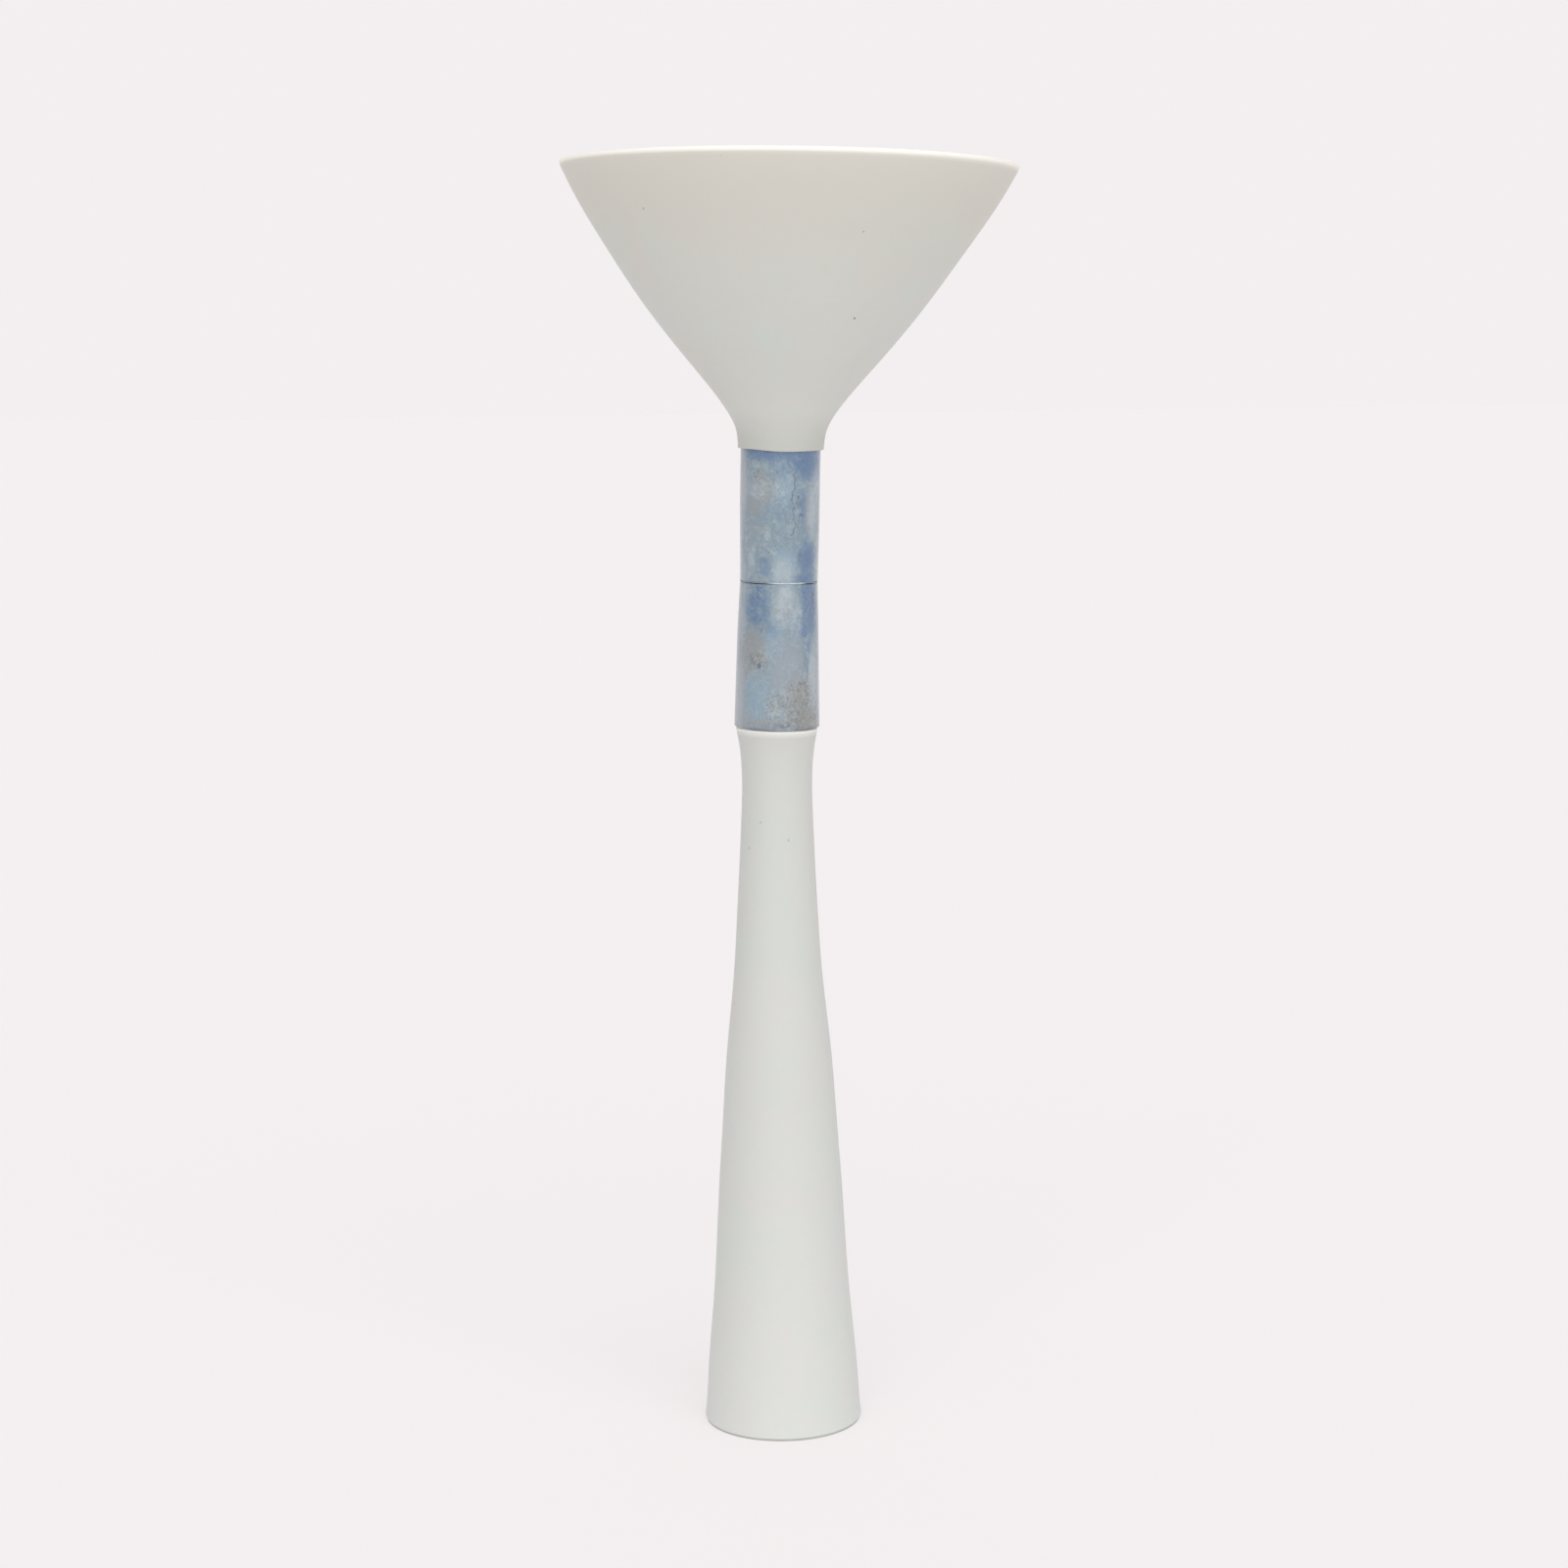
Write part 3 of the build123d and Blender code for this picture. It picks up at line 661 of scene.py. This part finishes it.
lower_stains = [
    # Painted reflection: the paler bands at 56 and -62 degrees, down the sleeve's sides.
    ("side_reflection", 56, 24, 9, 16, 0.7), ("cobalt", -33, 65, 21, 11, 0.8), ("cobalt", -58, 62, 12, 10, 0.35),
    ("vein", -31, 72, 2.2, 4, 0.6), ("side_reflection", -62, 56, 10, 14, 0.65), ("side_reflection", -62, 16, 11, 20, 0.8),
    ("taupe", 8, 66, 19, 9, 0.65), ("pale", 10, 69, 17, 8, 0.8), ("pale", 4, 58, 14, 6, 0.6),
    ("cobalt", 53, 65, 19, 12, 1.05), ("vein", 60, 69, 3, 5, 0.8), ("cobalt", 44, 55, 21, 7, 0.85),
    ("cobalt", 50, 47, 7, 9, 0.6), ("cobalt", -8, 54, 16, 6, 0.45), ("sky", -8, 46, 22, 9, 0.7),
    ("taupe", -38, 43, 24, 13, 1.0), ("taupe", -55, 36, 16, 12, 0.8), ("crust", -30, 36, 14, 5, 0.6),
    ("vein", -25.5, 33.5, 2.6, 1.3, 1.2), ("vein", -34, 35, 1.5, 0.9, 0.7), ("lilac", 17, 30, 24, 18, 0.9),
    ("lilac", 8, 44, 18, 8, 0.6), ("cobalt", 46, 34, 4, 8, 0.5), ("pale", 56, 27, 10, 16, 0.95),
    ("sky", -31, 15, 26, 16, 0.78), ("lilac", -58, 6, 16, 9, 0.8), ("taupe", 33, 16, 24, 12, 0.9),
    ("crust", 34, 14, 21, 11, 1.0), ("crust", 48, 6, 18, 6, 1.0), ("crust", 15, 4, 15, 3, 0.7),
    ("pale", -4, 11, 11, 6, 0.75), ("crust", 2, 14, 9, 5, 0.6), ("pale", 8, 18, 7, 4, 0.5),
    ("vein", 4, 1.5, 34, 2.6, 0.42), ("taupe", -52, 3, 22, 5, 0.8), ("crust", -6, 12, 12, 7, 0.55),
    ("lilac", -20, 2, 14, 3, 0.6), ("taupe", 46, 4, 24, 7, 1.35), ("taupe", -20, 2, 32, 3.5, 1.0),
    ("crust", 40, 3, 18, 5, 1.2), ("pale", 26, 59, 11, 10, 0.75),
]

# Thin runs of cobalt as (half width in mm, strength, (degrees, mm up) points along the run).
upper_runs = [
    (0.45, 0.75, [(22, 58), (20, 52), (18, 44), (19, 38), (23, 33), (21, 28), (17, 23)]),
    (0.35, 0.6, [(26, 50), (28, 44), (25, 40), (30, 36), (29, 31)]),
    (0.4, 0.5, [(-9, 34), (-11, 28), (-8, 20), (-9, 14)]),
    (0.35, 0.5, [(-36, 62), (-40, 58), (-36, 55), (-31, 57), (-33, 61)]),
    (0.35, 0.45, [(-38, 16), (-34, 12), (-36, 7), (-30, 5)]),
    (0.35, 0.5, [(-20, 22), (-24, 25), (-18, 28), (-12, 26), (-14, 21), (-20, 22)]),
    (0.4, 0.45, [(20, 10), (24, 14), (28, 12), (32, 16)]),
    (0.35, 0.4, [(4, 60), (8, 55), (6, 50), (10, 46)]),
]
lower_runs = [
    (0.5, 0.8, [(62, 74), (61, 68), (63, 62)]),
    (0.4, 0.6, [(-32, 76), (-33, 71), (-31, 66), (-35, 60), (-32, 55)]),
    (0.4, 0.5, [(-24, 58), (-22, 54), (-26, 51), (-22, 48)]),
    (0.4, 0.55, [(41, 50), (43, 44), (40, 38), (44, 32), (42, 27)]),
    (0.35, 0.5, [(-44, 40), (-38, 37), (-34, 34), (-30, 35), (-24, 33), (-20, 36)]),
    (0.35, 0.5, [(22, 20), (26, 16), (24, 11), (30, 8), (34, 4)]),
    (0.35, 0.5, [(36, 22), (40, 17), (38, 12), (44, 8), (50, 5), (56, 8)]),
    (0.35, 0.4, [(10, 66), (14, 62), (10, 58), (16, 55)]),
    (0.4, 0.5, [(-12, 13), (-4, 12), (4, 14), (10, 12)]),
    (0.35, 0.5, [(-8, 17), (0, 18.5), (6, 17)]),
    (0.4, 0.5, [(-14, 6), (-6, 5), (2, 7), (8, 5)]),
]


def run_mark(runs, turn, up):
    """How strongly each point of a sleeve lies on a run: 1 on its line, fading over its half width.
    The distance to each straight part is measured on the unrolled sleeve, in millimetres."""
    flat = math.radians(1) * sleeve_radius
    made = np.zeros(turn.shape)
    for half_width, strength, line in runs:
        for (turn_a, up_a), (turn_b, up_b) in zip(line, line[1:]):
            side, rise = (turn_b - turn_a) * flat, up_b - up_a
            across, along = (turn - turn_a) * flat, up - up_a
            share = np.clip((across * side + along * rise) / (side**2 + rise**2), 0, 1)
            away = np.hypot(across - share * side, along - share * rise) / half_width
            made = np.maximum(made, strength * np.exp(-0.7 * away**2))
    return made


def back_stains(seed, count):
    """Stains of the same sizes and kinds for the side away from the front."""
    draw = np.random.default_rng(seed)
    made = []
    for _ in range(count):
        layer = draw.choice(["cobalt", "cobalt", "taupe", "pale", "crust", "sky", "lilac"])
        strength = draw.uniform(0.35, 0.95) * (0.6 if layer == "crust" else 1.0)
        place = draw.uniform(95, 265), draw.uniform(2, 75)
        reach = draw.uniform(8, 28), draw.uniform(5, 16)
        made.append((layer, *place, *reach, strength))
    return made


def sleeve_section(base, radii, inner, inner_rounds):
    """A tube's closed section: up a shallow outside curve through three radii, over the top, down
    the bore, and round the inner corners at its base, whose radii of rounding are inner_rounds."""
    top = base + sleeve_length
    middle = (base + top) / 2
    outside = smooth_curve([(radii[0], base + 0.55), (radii[1], middle), (radii[2], top - 0.55)], 190)
    corners = [outside[-1], (radii[2], top), (sleeve_bore, top), *inner, (radii[0], base), outside[0]]
    ends = rounded(corners, [0, 0.5, 0.4, *inner_rounds, 0.5, 0])
    return np.vstack([outside, spread(ends[1:-1], 2.0)])


# The upper sleeve's register: a collar inside its foot that reaches down into the lower sleeve.
register = [
    (sleeve_bore, upper_base + register_root), (register_bore, upper_base + register_root),
    (register_bore, upper_base - register_depth), (register_radius, upper_base - register_depth),
    (register_radius, upper_base),
]


def make_sleeve(name, section, base, body, node, stains, runs, material):
    """A sleeve with its stains marked on it, and along its two edges cobalt pooled unevenly, with painted
    shade there too.
    """
    points, faces, angle, height = turned(section, 320, on_stack, sleeve_shape)
    made = piece(name, points, faces, body, material, [node])
    layers = {layer: np.zeros(angle.shape) for layer in stain_layers}
    for layer, degrees, up, half_width, half_height, strength in stains:
        turn = np.degrees(angle - FRONT) - degrees
        turn = (turn + 180) % 360 - 180
        away = (turn / half_width) ** 2 + ((height - base - up) / half_height) ** 2
        layers[layer] = np.maximum(layers[layer], strength * np.exp(-0.7 * away**1.3))
    from_front = (np.degrees(angle - FRONT) + 180) % 360 - 180
    wobble = 1.5 * np.sin((height - base) / 1.7) + 1.0 * np.sin((height - base) / 0.75 + angle * 9)
    layers["vein"] = np.maximum(layers["vein"], run_mark(runs, from_front + wobble, height - base))
    for layer, values in layers.items():
        mark(made, layer, values)
    # Pooled cobalt and painted shade along both ends, uneven round the turn.
    waves = np.cos(np.radians(3 * from_front + 150)) * np.cos(np.radians(2 * from_front - 20))
    low, high = height - base, base + sleeve_length - height
    near = np.exp(-np.maximum(low, 0) / 0.5) + np.exp(-np.maximum(high, 0) / 0.4)
    mark(made, "edge", np.clip(near * (0.5 + 0.5 * waves), 0, 0.8))
    return made


def sleeve_shape(radius, angle, height):
    """Rubbed by hand, the outside is uneven by a tenth of a millimetre, and the lower sleeve's
    outer edge hangs a millimetre over the foot at the front."""
    outer = ease((radius - 18.5) / 1.0)
    hang = ease((radius - 21.4) / 0.7) * ease(1 - (height - ring_thickness) / 6)
    height = height - hang * (0.35 + 0.6 * np.cos(angle - FRONT))
    uneven = 0.06 * np.cos(3 * angle + height / 14.0) + 0.05 * np.cos(4 * angle - height / 9.0)
    return radius + outer * uneven, height


def make_seam_ring(material):
    """A thin ring: its upper part is a pale bead flush with the sleeves, and its lower part lies
    deeper and carries a painted shadow, so that the joint shows dark under the bead. The bead fades
    and the painted shadow lightens where the gap closes up in places round the turn."""
    low, high = seam_level, upper_base
    outer = seam_radius - 0.05
    bead_base = low + 0.48
    groove = outer - 0.45
    section = rounded(
        [(sleeve_bore, low), (groove, low), (groove, bead_base), (outer, bead_base), (outer, high),
         (sleeve_bore, high)],
        [0.1, 0.1, 0.1, 0.15, 0.15, 0.1],
    )
    points, faces, angle, height = turned(section, 320, on_stack)
    made = piece("seam_band", points, faces, "lower_tube", material, ["seam_ring"])
    turn = (np.degrees(angle - FRONT) + 180) % 360 - 180
    # Painted shadow of the gap: darkest where the sleeves stand open, near -36 and 52 degrees and at the
    # sides.
    gap_shadow = np.exp(-(((turn + 36) / 24) ** 4)) + np.exp(-(((turn - 52) / 13) ** 4))
    gap_shadow = gap_shadow + 0.3 * ease((np.abs(turn) - 80) / 15)
    bead = 0.36 * ease((np.abs(turn - 13) - 23) / 12) + 0.14 * ease((np.abs(turn + 5) - 62) / 12)
    mark(made, "bead_fade_and_gap_shadow", np.where(height < bead_base + 0.01, np.clip(0.25 + 0.75 * gap_shadow, 0, 1), bead))
    return made


# ---------------------------------------------------------------- making
# The larger iron specks, as (degrees from the front, height, radius in mm, strength); heights are
# above the collar's edge on the bowl, and above the table on the foot.
bowl_specks = [
    (31.7, 66.5, 0.8, 0.9), (-43.1, 118.7, 0.7, 0.6), (23.0, 108.1, 0.7, 0.5), (150.0, 84.0, 0.7, 0.7),
]
foot_specks = [
    (-27.6, 333.5, 0.9, 0.25), (17.8, 324.2, 0.8, 0.3), (-49.0, 319.0, 1.2, 0.2), (140.0, 210.0, 0.8, 0.6),
]


def placed(specks, outside, shape, place):
    """Specks as (centre in metres, radius in metres, strength), centred on the outside's surface."""
    for degrees, height, size, strength in specks:
        angle = np.array(FRONT + math.radians(degrees))
        up = outside[:, 1].argsort()
        radius = np.interp(height, outside[up, 1], outside[up, 0])
        surface, _ = shape(radius, angle, height)
        centre = place(np.asarray(surface), angle, np.asarray(height))
        yield (centre * MM).tolist(), size * MM, strength


# In each, the first colour is the painted shade and the fifth is the painted highlight.
cream = matt_porcelain(
    "cream_bisque_porcelain", "bfc1bb", "cfd1cb", "ccd2cc", "d0cfc9", "fffef6", warm_edge="d1cec3",
    specks=placed(bowl_specks, smooth_curve(flare, 110), bowl_shape, place_bowl),
)
white = matt_porcelain(
    "white_bisque_porcelain", "c4c6c1", "d9dbd8", "d4dcd6", "dbdad7", "f6f6f0",
    specks=placed(foot_specks, smooth_curve(foot_outside, 150), foot_shape, on_foot),
)
stained = stained_porcelain()
glazed = glazed_porcelain()
silicone = speckled("white_silicone", "e6e6e0", "deded8", "eeeeea", 2.0, 0.6, 0.02)
black_rubber = speckled("black_rubber", "2a2a2a", "1f1f1f", "343434", 0.8, 0.65, 0.05)
pad_silicone = speckled("grey_silicone_pad", "b4b6b1", "a9aba6", "bfc1bc", 1.5, 0.8, 0.02)
iron = speckled("cast_iron", "3c3c3e", "2c2c2e", "4a4a4d", 1.2, 0.6, 0.2, Metallic=0.8)

make_bowl(cream)
make_foot(white)
plain_base = [(sleeve_bore, ring_thickness)]
lower_section = sleeve_section(ring_thickness, (22.8, 22.0, seam_radius), plain_base, [0.4])
make_sleeve(
    "lower_sleeve_tube", lower_section, ring_thickness, "lower_tube", "lower_sleeve",
    lower_stains + back_stains(7, 16), lower_runs, stained,
)
upper_section = sleeve_section(upper_base, (seam_radius, 21.15, 21.3), register, [0.3, 0.4, 0.4, 0.4, 0.2])
make_sleeve(
    "upper_sleeve_tube", upper_section, upper_base, "upper_tube", "upper_sleeve",
    upper_stains + back_stains(11, 16), upper_runs, stained,
)
make_seam_ring(seam_material())

finishes = {
    "foot_pad": pad_silicone,
    "ballast_disc": iron,
    "neck_bung": black_rubber,
    "stem_washer": black_rubber,
    "lower_seat_ring": silicone,
    "collar_ring": silicone,
    "drain_stem": glazed,
    "filter_plate": glazed,
}
for node, finish in finishes.items():
    mesh = frame["nodes"][node].data
    mesh.materials.clear()
    mesh.materials.append(finish)


# ---------------------------------------------------------------- studio
room_strength = 0.82
window_strength = 1.1
floor_glow = 0.50
side_wall_colour = "c6c6c8"
backdrop_colour = "f3eff0"


def make_floor():
    """A white acrylic light table that runs out of sight, so that it meets the backdrop with no
    edge. Its glow from below keeps the shadow round the foot faint."""
    reach = 60.0
    corners = [(-reach, -reach, 0), (reach, -reach, 0), (reach, reach, 0), (-reach, reach, 0)]
    mesh = bpy.data.meshes.new("studio_floor")
    mesh.from_pydata(corners, [], [(0, 1, 2, 3)])
    material, _, shader, _ = start_material(
        "white_acrylic_light_table", Roughness=1.0, Specular_IOR_Level=0.0, Emission_Strength=floor_glow
    )
    shader.inputs["Base Color"].default_value = linear("b3b0b1")
    shader.inputs["Emission Color"].default_value = linear("fffbfc")
    mesh.materials.append(material)
    floor = bpy.data.objects.new("studio_floor", mesh)
    bpy.context.scene.collection.objects.link(floor)
    floor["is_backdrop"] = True


def make_light():
    """An even white room, whose seen colour matches the lit floor, and one very wide soft sun."""
    world = bpy.data.worlds.new("white_room")
    bpy.context.scene.world = world
    world.use_nodes = True
    tree = world.node_tree
    room = tree.nodes["Background"]
    # The room's side walls are darker than its front, back and ceiling, which shades the rounds.
    toward = add(tree, "ShaderNodeTexCoord").outputs["Generated"]
    sideways = add(tree, "ShaderNodeSeparateXYZ", {0: toward}).outputs["X"]
    sideways = add(tree, "ShaderNodeMath", {0: sideways, 1: 2.0}, operation="POWER")
    tone = add(tree, "ShaderNodeMix", {0: sideways, 6: "fffdfc", 7: side_wall_colour}, data_type="RGBA")
    tree.links.new(tone.outputs[2], room.inputs["Color"])
    room.inputs["Strength"].default_value = room_strength
    seen = add(tree, "ShaderNodeBackground", {"Color": backdrop_colour, "Strength": 1.0})
    path = add(tree, "ShaderNodeLightPath").outputs["Is Camera Ray"]
    mixed = add(tree, "ShaderNodeMixShader", {0: path, 1: room, 2: seen})
    tree.links.new(mixed.outputs[0], tree.nodes["World Output"].inputs["Surface"])
    sun = bpy.data.lights.new("soft_window", "SUN")
    sun.energy = window_strength
    sun.angle = math.radians(80)
    lamp = bpy.data.objects.new("soft_window", sun)
    lamp.rotation_euler = (math.radians(62), 0, math.radians(10))
    bpy.context.scene.collection.objects.link(lamp)


def make_camera():
    """The camera stands 1.57 m in front and 0.56 m up, looks 7.7 degrees down, and is rolled by 0.7
    degrees."""
    tilt, roll = math.radians(7.713), math.radians(-0.6795)
    ahead = np.array([0.0, math.cos(tilt), -math.sin(tilt)])
    level = np.array([1.0, 0.0, 0.0])
    above = np.cross(level, ahead)
    right = math.cos(roll) * level + math.sin(roll) * above
    up = -math.sin(roll) * level + math.cos(roll) * above
    data = bpy.data.cameras.new("camera")
    data.sensor_width = 36.0
    data.lens = 67.5
    camera = bpy.data.objects.new("camera", data)
    matrix = np.eye(4)
    matrix[:3, 0], matrix[:3, 1], matrix[:3, 2] = right, up, -ahead
    matrix[:3, 3] = np.array([4.43, -1565.1, 563.8]) * MM
    camera.matrix_world = Matrix(matrix.tolist())
    bpy.context.scene.collection.objects.link(camera)
    bpy.context.scene.camera = camera


bpy.context.scene.view_settings.view_transform = "Standard"
make_floor()
make_light()
make_camera()

boxes = {"cad": cad_box, "visual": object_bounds()}
{name: [list(corner) for corner in box] for name, box in boxes.items()}
